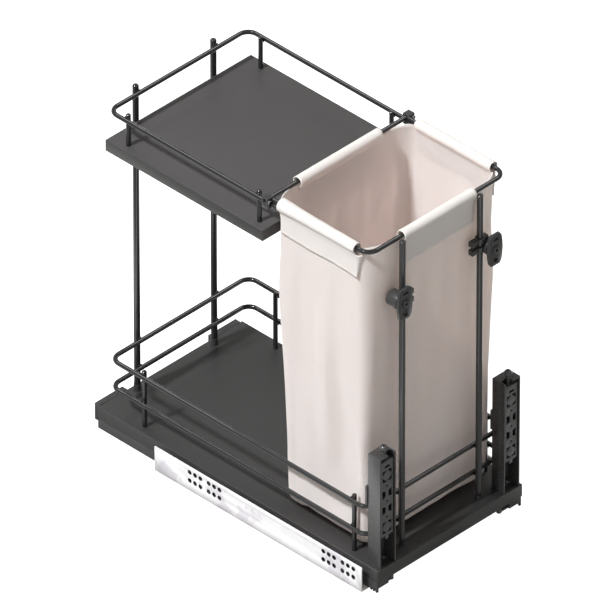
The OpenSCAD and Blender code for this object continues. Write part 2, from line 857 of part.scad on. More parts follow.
column_screws();
lattice_plate(-1);  // lattice_plate_left
lattice_plate(1);  // lattice_plate_right
height_screw(-1);  // height_screw_left
height_screw(1);  // height_screw_right
clip_body(-1);  // clip_body_left
clip_body(1);  // clip_body_right
clip_face(-1);  // clip_face_left
clip_face(1);  // clip_face_right
cam_screw(-1);  // cam_screw_left
cam_screw(1);  // cam_screw_right
post_screws();
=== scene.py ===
"""The looks of a pull-out rack with two boards, wire galleries and a hanging cloth bag.

Everything is in metres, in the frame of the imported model: X across, -Y towards the front, Z up.
"""

import json
import math

import bmesh
import bpy
import numpy as np
from mathutils import Matrix, Vector, noise


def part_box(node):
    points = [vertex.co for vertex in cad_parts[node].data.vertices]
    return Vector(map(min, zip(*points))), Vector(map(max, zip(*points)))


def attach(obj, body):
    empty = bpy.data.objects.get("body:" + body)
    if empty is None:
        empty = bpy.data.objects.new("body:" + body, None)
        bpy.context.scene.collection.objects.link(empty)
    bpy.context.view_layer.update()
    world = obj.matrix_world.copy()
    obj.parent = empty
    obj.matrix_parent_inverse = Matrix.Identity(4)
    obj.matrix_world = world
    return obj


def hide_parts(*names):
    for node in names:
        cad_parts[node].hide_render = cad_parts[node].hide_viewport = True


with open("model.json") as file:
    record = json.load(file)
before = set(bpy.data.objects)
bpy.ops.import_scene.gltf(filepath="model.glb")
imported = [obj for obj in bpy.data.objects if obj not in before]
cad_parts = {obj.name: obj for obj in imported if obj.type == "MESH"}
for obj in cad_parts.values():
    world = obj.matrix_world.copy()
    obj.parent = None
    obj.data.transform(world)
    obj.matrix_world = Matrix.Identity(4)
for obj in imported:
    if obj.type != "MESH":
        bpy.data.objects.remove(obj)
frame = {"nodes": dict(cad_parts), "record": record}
nodes = frame["nodes"]
body_of_node = {n: b for b, ns in frame["record"]["behaviour"]["bodies"].items() for n in ns}
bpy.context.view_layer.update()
MM = 0.001
SIDES = ("left", "right")


# Node trees

class Value:
    """A socket that takes part in sums, so that node maths reads as an expression."""

    def __init__(self, graph, socket):
        self.graph, self.socket = graph, socket

    def maths(self, operation, *others):
        kind = "ShaderNodeMath"
        return self.graph.add(kind, {"operation": operation}, [self, *others])

    def __add__(self, other):
        return self.maths("ADD", other)

    __radd__ = __add__

    def __sub__(self, other):
        return self.maths("SUBTRACT", other)

    def __rsub__(self, other):
        return self.graph.add("ShaderNodeMath", {"operation": "SUBTRACT"}, [other, self])

    def __mul__(self, other):
        return self.maths("MULTIPLY", other)

    __rmul__ = __mul__

    def __truediv__(self, other):
        return self.maths("DIVIDE", other)

    def above(self, other):
        return self.maths("GREATER_THAN", other)

    def clamped(self):
        return self.graph.add("ShaderNodeClamp", {}, [self])


class Graph:
    """A node tree, of a material or of Geometry Nodes, that is filled by one method."""

    def __init__(self, tree):
        self.tree = tree

    def add(self, kind, settings=None, values=(), output=0):
        node = self.tree.nodes.new(kind)
        for name, setting in (settings or {}).items():
            if name == "stops":
                ramp = node.color_ramp
                while len(ramp.elements) < len(setting):
                    ramp.elements.new(0.5)
                for element, (place, colour) in zip(ramp.elements, setting):
                    element.position, element.color = place, (*colour, 1)
            else:
                setattr(node, name, setting)
        pairs = values.items() if isinstance(values, dict) else enumerate(values)
        for key, value in pairs:
            socket = node.inputs[key]
            if isinstance(value, Value):
                self.tree.links.new(value.socket, socket)
            elif value is not None:
                socket.default_value = value
        return Value(self, node.outputs[output]) if len(node.outputs) else node

    def split(self, vector):
        """The x, y and z of a vector."""
        node = self.tree.nodes.new("ShaderNodeSeparateXYZ")
        self.tree.links.new(vector.socket, node.inputs[0])
        return [Value(self, socket) for socket in node.outputs]

    def rise(self, value, start, slope):
        """0 up to start, and from there up to 1 with this slope."""
        return ((value - start) * slope).clamped()

    def end(self, kind, value):
        """Joins a value to the first socket of a new output node."""
        node = self.tree.nodes.new(kind)
        self.tree.links.new(value.socket, node.inputs[0])

    def mix(self, factor, first, second):
        """A colour between first and second."""
        def full(colour):
            return (*colour, 1) if isinstance(colour, tuple) and len(colour) == 3 else colour
        return self.add("ShaderNodeMix", {"data_type": "RGBA"},
                        {0: factor, 6: full(first), 7: full(second)}, output=2)

    def noise(self, place, scale, detail=2.0, roughness=0.5):
        return self.add("ShaderNodeTexNoise", {}, {"Vector": place, "Scale": scale,
                                                   "Detail": detail, "Roughness": roughness})

    def stretched(self, place, scale):
        """The place with its axes scaled, for streaks."""
        return self.add("ShaderNodeVectorMath", {"operation": "MULTIPLY"}, [place, scale])

    def bump(self, height, distance, strength=1.0, under=None):
        return self.add("ShaderNodeBump", {}, {"Height": height, "Distance": distance,
                                               "Strength": strength, "Normal": under})


def new_material(name, viewport):
    material = bpy.data.materials.new(name)
    material.use_nodes = True
    material.diffuse_color = (*viewport, 1)
    tree = material.node_tree
    tree.nodes.clear()
    graph = Graph(tree)
    place = graph.add("ShaderNodeTexCoord", output="Object")
    return material, graph, place


def surface(graph, **sockets):
    """The material's one shader. Socket names are written with underscores."""
    node = graph.tree.nodes.new("ShaderNodeBsdfPrincipled")
    for name, value in sockets.items():
        socket = node.inputs[name.replace("_", " ")]
        if isinstance(value, Value):
            graph.tree.links.new(value.socket, socket)
        else:
            wide = isinstance(value, tuple) and len(socket.default_value) == 4
            socket.default_value = (*value, 1) if wide else value
    graph.end("ShaderNodeOutputMaterial", Value(graph, node.outputs[0]))


# Materials

def powder_coat(name, colour, roughness):
    """Fine-textured powder coat on wire and sheet, a little paler where edges rub."""
    material, g, place = new_material(name, colour)
    cloud = g.noise(place, 28, 3)
    peel = g.noise(place, 900, 2)
    grain = g.noise(place, 2600, 1)
    rub = (g.noise(place, 140, 4, 0.7) - 0.62).clamped() * 1.6
    pale = tuple(min(1, c * 2.2 + 0.02) for c in colour)
    base = g.mix(cloud, tuple(c * 0.82 for c in colour), tuple(c * 1.2 for c in colour))
    height = peel * 0.7 + grain * 0.3
    surface(g, Base_Color=g.mix(rub, base, pale), Roughness=roughness + (peel - 0.5) * 0.16,
            Metallic=0.0, Normal=g.bump(height, 0.00006, 0.3))
    return material


def coated_board(name, colour):
    """Anthracite coated board: a leathery emboss with a sparse pale fleck."""
    material, g, place = new_material(name, colour)
    cloud = g.noise(place, 9, 3)
    fleck = (g.noise(place, 950, 2) - 0.6).clamped() * 1.3
    emboss = g.add("ShaderNodeTexVoronoi", {"feature": "SMOOTH_F1"},
                   {"Vector": place, "Scale": 620, "Smoothness": 0.6})
    fine = g.noise(place, 1900, 2)
    base = g.mix(cloud, tuple(c * 0.9 for c in colour), tuple(c * 1.1 for c in colour))
    surface(g, Base_Color=g.mix(fleck, base, tuple(c * 1.9 + 0.01 for c in colour)),
            Roughness=0.5 + (fine - 0.5) * 0.14,
            Normal=g.bump(emboss * 0.7 + fine * 0.4, 0.00009, 0.6))
    return material


def edge_band(name, colour):
    """The strip glued round the boards: fine saw lines along its length."""
    material, g, place = new_material(name, colour)
    lines = g.noise(g.stretched(place, (35, 35, 2600)), 1, 2)
    cloud = g.noise(place, 30, 2)
    base = g.mix(cloud, tuple(c * 0.86 for c in colour), tuple(c * 1.14 for c in colour))
    surface(g, Base_Color=base, Roughness=0.44 + (lines - 0.5) * 0.2,
            Normal=g.bump(lines, 0.00004, 0.5))
    return material


def sheet_steel(name, colour, spangle=0.16, roughness=0.3, metallic=1.0, scale=90):
    """Zinc-coated sheet with its spangle and fine rolling lines."""
    material, g, place = new_material(name, colour)
    cells = g.add("ShaderNodeTexVoronoi", {}, {"Vector": place, "Scale": scale}, output="Color")
    tone = g.add("ShaderNodeRGBToBW", {}, [cells])
    lines = g.noise(g.stretched(place, (2200, 30, 2200)), 1, 3)
    smear = g.noise(place, 22, 4, 0.6)
    base = g.mix(tone, tuple(c * (1 - spangle) for c in colour),
                 tuple(min(1, c * (1 + spangle / 2)) for c in colour))
    blotch = ((g.noise(place, 17, 5, 0.62) - 0.545) * 16).clamped()
    faint = tuple(c * k for c, k in zip(colour, (0.8, 0.79, 0.82)))
    dull = g.mix(blotch, base, faint)
    surface(g, Base_Color=dull, Metallic=metallic,
            Roughness=roughness + (tone - 0.5) * 0.14 + (smear - 0.5) * 0.2,
            Normal=g.bump(lines, 0.00003, 0.5))
    return material


def moulded_plastic(name, colour, roughness=0.46):
    """Moulded plastic with a fine spark-eroded grain."""
    material, g, place = new_material(name, colour)
    grain = g.noise(place, 1500, 2)
    cloud = g.noise(place, 60, 2)
    base = g.mix(cloud, tuple(c * 0.88 for c in colour), tuple(c * 1.14 for c in colour))
    surface(g, Base_Color=base, Roughness=roughness + (grain - 0.5) * 0.16,
            Normal=g.bump(grain, 0.00008, 0.6))
    return material


def canvas(name, colour, glow, thread=0.0011):
    """Unbleached cotton canvas: a plain weave on the piece's own UV map, in metres."""
    material, g, place = new_material(name, colour)
    uv = g.add("ShaderNodeUVMap", {"uv_map": "cloth"})
    slub = g.noise(uv, 260, 3, 0.6)
    across, down, _ = g.split(uv)
    turns = math.pi / thread
    warp = (across * turns + slub * 0.9).maths("SINE")
    weft = (down * turns + slub * 0.9).maths("SINE")
    weave = (warp * weft) * 0.5 + 0.5
    cloud = g.noise(place, 16, 4, 0.55)
    warm = tuple(c * k for c, k in zip(colour, (0.97, 0.93, 0.89)))
    base = g.mix(cloud, warm, colour)
    seeds = (g.noise(uv, 900, 2) - 0.68).clamped() * 1.5
    tone = g.mix(seeds, base, tuple(c * k for c, k in zip(colour, (0.74, 0.64, 0.52))))
    shade = g.mix(weave * 0.22, tone, tuple(c * 0.8 for c in colour))
    surface(g, Base_Color=shade, Roughness=0.86 + (slub - 0.5) * 0.1,
            Sheen_Weight=0.25, Sheen_Roughness=0.5, Subsurface_Weight=glow,
            Subsurface_Scale=0.006, Subsurface_Radius=(1.0, 0.87, 0.76),
            Normal=g.bump(weave * 0.75 + slub * 0.35, 0.00016, 0.45))
    return material


GRAPHITE = powder_coat("graphite_coat", (0.02, 0.02, 0.021), 0.13)
ROD_COAT = powder_coat("rod_coat", (0.04, 0.04, 0.041), 0.2)
COLUMN_COAT = powder_coat("column_coat", (0.055, 0.054, 0.0545), 0.26)
BOARD = coated_board("board_top", (0.062, 0.0595, 0.0602))
BAND = edge_band("board_edge", (0.044, 0.043, 0.043))
# Darker copies of the board coat and edge band: painted shade for the lower board, which lies
# under the upper shelf, and for the front profile.
SHADED_BOARD = coated_board("lower_board_top_painted_shade", (0.032, 0.0312, 0.0314))
SHADED_BAND = edge_band("lower_board_edge_painted_shade", (0.042, 0.0415, 0.0415))
ZINC = sheet_steel("runner_zinc", (0.97, 0.965, 0.985), 0.04, 0.4, 0.1)
STEEL = sheet_steel("grey_steel", (0.075, 0.075, 0.077), 0.12, 0.42, 0.3)
BRACKET = sheet_steel("bracket_steel", (0.055, 0.055, 0.0565), 0.12, 0.42, 0.3)
ROLLER = sheet_steel("roller_steel", (0.6, 0.61, 0.62), 0.08, 0.25)
LATTICE = sheet_steel("lattice_steel", (0.12, 0.12, 0.122), 0.12, 0.42, 0.4)
SCREW = sheet_steel("dark_screw", (0.11, 0.11, 0.112), 0.1, 0.3, 0.6, 300)
PALE_SCREW = sheet_steel("bright_screw", (0.34, 0.34, 0.345), 0.1, 0.28, 0.7, 300)
PLASTIC = moulded_plastic("dark_plastic", (0.045, 0.045, 0.046), 0.3)
FACE_STEEL = powder_coat("clip_coat", (0.035, 0.035, 0.036), 0.3)
GREY_PLASTIC = moulded_plastic("grey_plastic", (0.17, 0.17, 0.174))
# Near-black painted shade, put in screw recesses and on the walls of the rail's holes.
RECESS_SHADE = moulded_plastic("painted_recess_shade", (0.008, 0.008, 0.008), 0.6)
CLOTH = canvas("cotton_canvas", (0.955, 0.83, 0.797), 0.75)
HEM_CLOTH = canvas("hem_canvas", (0.99, 0.925, 0.893), 0.4)
THREAD = moulded_plastic("sewing_thread", (0.86, 0.79, 0.75), 0.7)


# Making pieces

def linked(name, data):
    """A new object in the scene."""
    thing = bpy.data.objects.new(name, data)
    bpy.context.scene.collection.objects.link(thing)
    return thing


def paint(mesh, *materials):
    """Gives a mesh these material slots."""
    mesh.materials.clear()
    for material in materials:
        mesh.materials.append(material)


def add_piece(name, mesh, material, body):
    piece = linked(name, mesh)
    if material is not None:
        paint(mesh, material)
    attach(piece, body)
    return piece


def mesh_from(name, points, faces, smooth=True):
    mesh = bpy.data.meshes.new(name)
    mesh.from_pydata([tuple(p) for p in points], [], faces)
    mesh.validate()
    if smooth:
        mesh.shade_smooth()
    return mesh


def with_modifiers(mesh, *modifiers):
    """The mesh after the named modifiers, as plain data."""
    holder = linked("holder", mesh)
    for kind, settings in modifiers:
        modifier = holder.modifiers.new(kind, kind)
        for name, value in settings.items():
            setattr(modifier, name, value)
    depsgraph = bpy.context.evaluated_depsgraph_get()
    result = bpy.data.meshes.new_from_object(holder.evaluated_get(depsgraph))
    bpy.data.objects.remove(holder)
    return result


def merged_copy(node):
    """A CAD node's mesh as clean faces: merged corners, flat faces joined."""
    work = bmesh.new()
    work.from_mesh(nodes[node].data)
    bmesh.ops.remove_doubles(work, verts=work.verts, dist=2e-6)
    bmesh.ops.dissolve_limit(work, angle_limit=math.radians(0.6), verts=work.verts,
                             edges=work.edges)
    bmesh.ops.recalc_face_normals(work, faces=work.faces)
    mesh = bpy.data.meshes.new(node)
    work.to_mesh(mesh)
    work.free()
    return mesh


def smooth_but_edges(mesh):
    """Smooth shading that keeps the corners sharp."""
    mesh.shade_smooth()
    mesh.set_sharp_from_angle(angle=math.radians(38))


def softened(node, radius, segments=2):
    """A copy of a CAD node whose edges are rounded."""
    mesh = with_modifiers(merged_copy(node), ("BEVEL", {
        "width": radius, "segments": segments, "limit_method": "ANGLE",
        "angle_limit": math.radians(35), "use_clamp_overlap": True}))
    smooth_but_edges(mesh)
    return mesh


def soft_piece(node, radius, material, segments=2):
    """A piece that stands for a CAD node, with its edges rounded."""
    piece = add_piece(node + "_finish", softened(node, radius, segments), material,
                      body_of_node[node])
    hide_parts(node)
    return piece


def islands(mesh):
    """(lowest corner, highest corner) of each loose part of a mesh."""
    work = bmesh.new()
    work.from_mesh(mesh)
    bmesh.ops.remove_doubles(work, verts=work.verts, dist=2e-6)
    left, boxes = set(work.verts), []
    while left:
        part, reached = set(), [left.pop()]
        while reached:
            vert = reached.pop()
            part.add(vert)
            for edge in vert.link_edges:
                other = edge.other_vert(vert)
                if other in left:
                    left.discard(other)
                    reached.append(other)
        co = np.array([vert.co for vert in part])
        boxes.append((Vector(co.min(axis=0)), Vector(co.max(axis=0))))
    work.free()
    return sorted(boxes, key=lambda pair: (round(pair[0].x, 4), round(pair[0].y, 4)))


def block(low, high):
    """The corners and faces of a box."""
    points = [(x, y, z) for x in (low[0], high[0]) for y in (low[1], high[1])
              for z in (low[2], high[2])]
    return points, [(0, 1, 3, 2), (4, 6, 7, 5), (0, 4, 5, 1), (2, 3, 7, 6), (0, 2, 6, 4),
                    (1, 5, 7, 3)]


def cross_headed(node, axis, way, arm, material):
    """Screws whose heads face way along axis, each with its cross recess painted near-black as
    shade.
    """
    mesh = softened(node, 0.3 * MM, 2)
    for low, high in islands(nodes[node].data):
        middle = (low + high) / 2
        middle[axis] = high[axis] if way > 0 else low[axis]
        for long_axis in [a for a in range(3) if a != axis]:
            half = [0.45 * MM] * 3
            half[long_axis], half[axis] = arm, 1.0 * MM
            points, faces = block(middle - Vector(half), middle + Vector(half))
            cutter = linked("cutter", mesh_from("cutter", points, faces, False))
            mesh = with_modifiers(mesh, ("BOOLEAN", {
                "operation": "DIFFERENCE", "object": cutter, "solver": "EXACT"}))
            bpy.data.objects.remove(cutter)
        mesh.update()
    smooth_but_edges(mesh)
    paint(mesh, material, RECESS_SHADE)
    boxes = islands(nodes[node].data)
    for face in mesh.polygons:
        face.material_index = 0
        for low, high in boxes:
            inner = all(low[a] - MM < face.center[a] < high[a] + MM for a in range(3))
            top = high[axis] if way > 0 else low[axis]
            sunk = (top - face.center[axis]) * way > 0.35 * MM
            flat = [a for a in range(3) if a != axis]
            near = max(abs(face.center[a] - (low[a] + high[a]) / 2) for a in flat)
            # Faces sunk in the cross recess get the painted shade.
            if inner and sunk and near < arm + 0.05 * MM:
                face.material_index = 1
    piece = add_piece(node + "_finish", mesh, None, body_of_node[node])
    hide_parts(node)


def hex_headed(node, axis, way, material):
    """A screw whose hexagonal recess along its axis is painted near-black as shade."""
    low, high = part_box(node)
    middle = (low + high) / 2
    mesh = softened(node, 0.3 * MM, 2)
    paint(mesh, material, RECESS_SHADE)
    top = high[axis] if way > 0 else low[axis]
    for face in mesh.polygons:
        off = face.center - Vector(middle)
        off[axis] = 0
        depth = (top - face.center[axis]) * way
        # Faces inside the recess get the painted shade.
        face.material_index = int(off.length < 2.15 * MM and 0.3 * MM < depth < 4 * MM)
    piece = add_piece(node + "_finish", mesh, None, body_of_node[node])
    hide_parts(node)


def dress(node, material):
    """A CAD node that keeps its shape and gets a finish."""
    paint(nodes[node].data, material)


# Repeated detail, made with Geometry Nodes

def node_group(name, inputs):
    """A Geometry Nodes group with named inputs: its tree, its graph and its input values."""
    tree = bpy.data.node_groups.new(name, "GeometryNodeTree")
    for way in ("INPUT", "OUTPUT"):
        tree.interface.new_socket("Geometry", in_out=way, socket_type="NodeSocketGeometry")
    for label, kind in inputs.items():
        tree.interface.new_socket(label, in_out="INPUT", socket_type="NodeSocket" + kind)
    graph = Graph(tree)
    entry = tree.nodes.new("NodeGroupInput")
    return tree, graph, {s.name: Value(graph, s) for s in entry.outputs if s.name}


def end_group(graph, geometry, material):
    """Makes instances real, smooth and of one material, and hands them out."""
    made = graph.add("GeometryNodeRealizeInstances", {}, [geometry])
    made = graph.add("GeometryNodeSetShadeSmooth", {}, [made])
    made = graph.add("GeometryNodeSetMaterial", {}, {"Geometry": made, "Material": material})
    graph.end("NodeGroupOutput", made)


def realised(mesh, tree, values):
    """The mesh that a Geometry Nodes group makes of this one, as plain data."""
    holder = linked("holder", mesh)
    modifier = holder.modifiers.new(tree.name, "NODES")
    modifier.node_group = tree
    for item in tree.interface.items_tree:
        if item.item_type == "SOCKET" and item.in_out == "INPUT" and item.name in values:
            modifier[item.identifier] = values[item.name]
    holder.update_tag()
    depsgraph = bpy.context.evaluated_depsgraph_get()
    result = bpy.data.meshes.new_from_object(holder.evaluated_get(depsgraph))
    holder.modifiers.remove(modifier)
    bpy.data.objects.remove(holder)
    return result


def varied(graph, spread, seed):
    """A random factor round 1 for each instance."""
    return graph.add("FunctionNodeRandomValue", {"data_type": "FLOAT"},
                     {2: 1.0 - spread, 3: spread + 1.0, "Seed": seed}, output=1)


def stitch_group():
    """Stitches laid along the lines of a mesh of edges."""
    tree, g, given = node_group("seam_stitches", {
        "Pitch": "Float", "Length": "Float", "Thickness": "Float", "Spread": "Float",
        "Seed": "Int", "Thread": "Material"})
    line = g.add("GeometryNodeMeshToCurve", {}, [given["Geometry"]])
    spots = g.add("GeometryNodeCurveToPoints", {"mode": "LENGTH"},
                  {"Curve": line, "Length": given["Pitch"]})
    turn = Value(g, spots.socket.node.outputs["Rotation"])
    ball = g.add("GeometryNodeMeshUVSphere", {}, {"Segments": 8, "Rings": 6, "Radius": 1.0})
    size = g.add("ShaderNodeCombineXYZ", {}, [given["Thickness"], given["Thickness"],
                                              given["Length"] * 0.5])
    scale = g.add("ShaderNodeVectorMath", {"operation": "SCALE"},
                  {0: size, "Scale": varied(g, given["Spread"], given["Seed"])})
    made = g.add("GeometryNodeInstanceOnPoints", {}, {
        "Points": spots, "Instance": ball, "Rotation": turn, "Scale": scale})
    end_group(g, made, given["Thread"])
    return tree


def bead_group():
    """A rounded bead on each point of a mesh."""
    tree, g, given = node_group("weld_beads", {
        "Size": "Vector", "Spread": "Float", "Seed": "Int", "Metal": "Material"})
    ball = g.add("GeometryNodeMeshIcoSphere", {}, {"Radius": 1.0, "Subdivisions": 3})
    scale = g.add("ShaderNodeVectorMath", {"operation": "SCALE"},
                  {0: given["Size"], "Scale": varied(g, given["Spread"], given["Seed"])})
    made = g.add("GeometryNodeInstanceOnPoints", {}, {
        "Points": given["Geometry"], "Instance": ball, "Scale": scale})
    end_group(g, made, given["Metal"])
    return tree


def thread_group():
    """The ridge of a screw thread, from the origin upwards."""
    tree, g, given = node_group("screw_thread", {
        "Turns": "Float", "Radius": "Float", "Height": "Float", "Ridge": "Float",
        "Metal": "Material"})
    spiral = g.add("GeometryNodeCurveSpiral", {}, {
        "Resolution": 20, "Rotations": given["Turns"], "Start Radius": given["Radius"],
        "End Radius": given["Radius"], "Height": given["Height"]})
    ring = g.add("GeometryNodeCurvePrimitiveCircle", {}, {
        "Resolution": 6, "Radius": given["Ridge"]})
    tube = g.add("GeometryNodeCurveToMesh", {}, {"Curve": spiral, "Profile Curve": ring})
    end_group(g, tube, given["Metal"])
    return tree


STITCHES, BEADS, SCREW_RIDGE = stitch_group(), bead_group(), thread_group()


def weld_beads(name, places, size, seed):
    mesh = realised(mesh_from(name, places, [], False), BEADS,
                    {"Size": size, "Spread": 0.16, "Seed": seed, "Metal": GRAPHITE})
    add_piece(name, mesh, None, "rack")


def screw_ridge(name, foot, radius, height, pitch, body):
    mesh = realised(mesh_from(name, [foot], [], False), SCREW_RIDGE, {
        "Turns": height / pitch, "Radius": radius, "Height": height, "Ridge": 0.32 * MM,
        "Metal": SCREW})
    mesh.transform(Matrix.Translation(foot))
    add_piece(name, mesh, None, body)


# Boards

def board_piece(node, top=BOARD, band=BAND):
    """A board with a rounded edge, its faces split between the coat and the edge band."""
    mesh = softened(node, 0.9 * MM, 3)
    paint(mesh, top, band)
    for face in mesh.polygons:
        face.material_index = 0 if abs(face.normal.z) > 0.9 else 1
    piece = add_piece(node + "_board", mesh, None, body_of_node[node])
    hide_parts(node)


# The lower board and the front profile get the darker copies, as painted shade.
board_piece("lower_shelf", SHADED_BOARD, SHADED_BAND)
board_piece("upper_shelf")
board_piece("front_profile", SHADED_BOARD, SHADED_BAND)

# Wire and sheet

for name in ("lower_gallery_low_wire", "lower_gallery_high_wire", "lower_gallery_posts",
             "tall_post_left", "tall_post_right", "upper_gallery_wire", "upper_gallery_posts",
             "bag_frame_wire", "bag_crossbar"):
    dress(name, GRAPHITE)

# What each of these pairs of nodes is finished with: edge radius in mm, material, slot, segments
SOFT_PAIRS = {
    "column_": (0.45, COLUMN_COAT, "graphite", 3),
    "gallery_tab_": (0.4, COLUMN_COAT, "graphite", 2),
    "lattice_plate_": (0.25, LATTICE, "steel", 2),
    "cross_clip_": (0.8, PLASTIC, "plastic", 3),
    "clip_body_": (0.5, PLASTIC, "plastic", 2),
    "clip_face_": (0.4, FACE_STEEL, "steel", 2),
    "lock_clip_": (0.5, PLASTIC, "plastic", 2),
    "lock_lever_": (0.4, GREY_PLASTIC, "plastic", 2),
    "rear_bracket_": (0.4, BRACKET, "steel", 2),
    "cabinet_rail_": (0.35, ZINC, "zinc", 2),
    "drawer_rail_": (0.35, STEEL, "steel", 2),
}


def paint_rail_hole_shade(rail, node):
    """The walls of the holes in the rail's side plate, painted near-black as shade."""
    plate, margin = 2.4 * MM, 3 * MM
    low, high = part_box(node)
    rail.data.materials.append(RECESS_SHADE)
    for face in rail.data.polygons:
        c = face.center
        inner = all(low[a] + margin < c[a] < high[a] - margin for a in (1, 2))
        in_plate = abs(c.x) > max(-low.x, high.x) - plate
        # Hole walls in the side plate get the painted shade.
        face.material_index = int(inner and in_plate and abs(face.normal.x) < 0.5)


for side in SIDES:
    for pair, (radius, material, slot, segments) in SOFT_PAIRS.items():
        piece = soft_piece(pair + side, radius * MM, material, segments)
        if pair == "cabinet_rail_":
            paint_rail_hole_shade(piece, pair + side)
    dress("front_rod_" + side, ROD_COAT)
    dress("middle_rail_" + side, ZINC)
    hex_headed("height_screw_" + side, 2, 1, SCREW)
    hex_headed("cam_screw_" + side, 1, -1, FACE_STEEL)
    for part in ("lower", "upper"):
        dress(part + "_cage_" + side, GREY_PLASTIC)
        dress(part + "_rollers_" + side, ROLLER)
cross_headed("cross_clip_screws", 1, -1, 1.7 * MM, PALE_SCREW)
cross_headed("column_screws", 2, 1, 2.0 * MM, PALE_SCREW)
cross_headed("post_screws", 2, -1, 2.4 * MM, SCREW)
dress("post_sockets", PLASTIC)


def rim(points, faces, place, radius, tube, steps=36, sides=8):
    """Adds a round rim, flat in XZ, to the points and faces of a mesh."""
    base = len(points)
    for i in range(steps):
        a = 2 * math.pi * i / steps
        for j in range(sides):
            b = 2 * math.pi * j / sides
            r = radius + tube * math.cos(b)
            points.append((place[0] + r * math.cos(a), place[1] + tube * math.sin(b),
                           place[2] + r * math.sin(a)))
            after, beside = (i + 1) % steps, (j + 1) % sides
            faces.append((base + i * sides + j, base + after * sides + j,
                          base + after * sides + beside, base + i * sides + beside))


for side in SIDES:
    low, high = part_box("clip_face_" + side)
    middle_x, middle_z = (low.x + high.x) / 2, (low.z + high.z) / 2
    screw_z = low.z + 7.5 * MM
    rims = [], []
    for z, radius, tube in ((middle_z, 7.2, 0.75), (screw_z, 3.9, 0.7), (middle_z, 5.6, 0.5)):
        rim(*rims, (middle_x, low.y, z), radius * MM, tube * MM)
    add_piece("clip_face_rims_" + side, mesh_from("rims", *rims), FACE_STEEL,
              body_of_node["clip_face_" + side])

wire_levels = []
for name in ("lower_gallery_low_wire", "lower_gallery_high_wire", "upper_gallery_wire"):
    low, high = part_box(name)
    wire_levels.append((low.z + high.z) / 2)
WIRE_R = (high.z - low.z) / 2
BEAD_OFF, BEAD_THIN, BEAD_LONG = 0.75 * WIRE_R, 1.1 * MM, 3.4 * MM
side_welds, end_welds = [], []
for posts, levels in (("lower_gallery_posts", wire_levels[:2]),
                      ("upper_gallery_posts", wire_levels[2:])):
    for low, high in islands(nodes[posts].data):
        x = high.x if high.x > 0 else low.x
        side_welds += [(x, (low.y + high.y) / 2, level + up * BEAD_OFF)
                       for level in levels for up in (1, -1)]
for side in SIDES:
    low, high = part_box("tall_post_" + side)
    end_welds += [((low.x + high.x) / 2, low.y, level + up * BEAD_OFF)
                  for level in wire_levels for up in (1, -1)]
    low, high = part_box("front_rod_" + side)
    end_welds += [((low.x + high.x) / 2, high.y, level + up * BEAD_OFF)
                  for level in wire_levels[:2] for up in (1, -1)]
    low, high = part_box("height_screw_" + side)
    middle = (low + high) / 2
    screw_ridge("height_screw_ridge_" + side, Vector((middle.x, middle.y, low.z + 1.5 * MM)),
                2.5 * MM, 36 * MM, 1.25 * MM, body_of_node["height_screw_" + side])
weld_beads("welds_on_sides", side_welds, (BEAD_THIN, BEAD_LONG, BEAD_THIN), 5)
weld_beads("welds_on_ends", end_welds, (BEAD_LONG, BEAD_THIN, BEAD_THIN), 6)

# The bag

wire_low, wire_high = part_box("bag_frame_wire")
bar_low, bar_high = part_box("bag_crossbar")
FRAME_R = (bar_high.z - bar_low.z) / 2
FRAME_Z = (bar_low.z + bar_high.z) / 2
FRAME_X = wire_high.x - FRAME_R
FRONT_Y = wire_low.y + FRAME_R
REAR_Y = (bar_low.y + bar_high.y) / 2
MID_Y = (FRONT_Y + REAR_Y) / 2
FLAP_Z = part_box("bag_hems")[0].z
SHEET_T = 1.1 * MM
WALL_IN = 1.2 * MM
AROUND, DOWN, FLOOR_RINGS = 112, 62, 9
SIDE_HEM = (FRONT_Y + 19.4 * MM, REAR_Y - 19 * MM)
FRONT_HEM_X = 60.5 * MM
REAR_HEM_X = 69 * MM


def smooth(t):
    t = max(0.0, min(1.0, t))
    return t * t * (3 - 2 * t)


def between(a, b, t):
    return a + (b - a) * t


def bag_outline(half_x, half_y, front, rear):
    """Points and outward normals round the bag, with elliptic corners (across, along)."""
    corners = [(half_x, half_y, rear, 0), (-half_x, half_y, rear, 90),
               (-half_x, -half_y, front, 180), (half_x, -half_y, front, 270)]
    dense = []
    for cx, cy, (rx, ry), start in corners:
        centre = (cx - math.copysign(rx, cx), cy - math.copysign(ry, cy))
        for step in range(25):
            a = math.radians(start + 90 * step / 24)
            dense.append((centre[0] + rx * math.cos(a), centre[1] + ry * math.sin(a)))
    dense = np.array(dense + dense[:1])
    lengths = np.r_[0, np.cumsum(np.linalg.norm(np.diff(dense, axis=0), axis=1))]
    at = np.linspace(0, lengths[-1], AROUND, endpoint=False)
    x, y = np.interp(at, lengths, dense[:, 0]), np.interp(at, lengths, dense[:, 1])
    tx, ty = np.roll(x, -1) - np.roll(x, 1), np.roll(y, -1) - np.roll(y, 1)
    size = np.hypot(tx, ty)
    return x, y, ty / size, -tx / size, at


TOP_CORNER_FRONT = (50 * MM, 23 * MM)
TOP_CORNER_REAR = (42 * MM, 20 * MM)
LOW_CORNER = (17 * MM, 17 * MM)
BAG_TOP_Z = FRAME_Z - 7.2 * MM
BAG_FLOOR_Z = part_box("bag")[0].z + 0.8 * MM
FLOOR_ROUND = 9 * MM
FOLD_IN = 2.0 * MM
TAPER = 4.2 * MM
REAR_SWELL = 5 * MM
WALL_CLEAR = 1.9 * MM
WIDE_FOLD, FINE_FOLD, BOTTOM_WAVE = 11 * MM, 3.2 * MM, 7 * MM
RIM_LIFT = 6.6 * MM
GALLERY_TOP_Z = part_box("lower_gallery_high_wire")[1].z + 8 * MM
GALLERY_IN_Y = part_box("lower_gallery_high_wire")[0].y + 2 * WIRE_R + 0.8 * MM


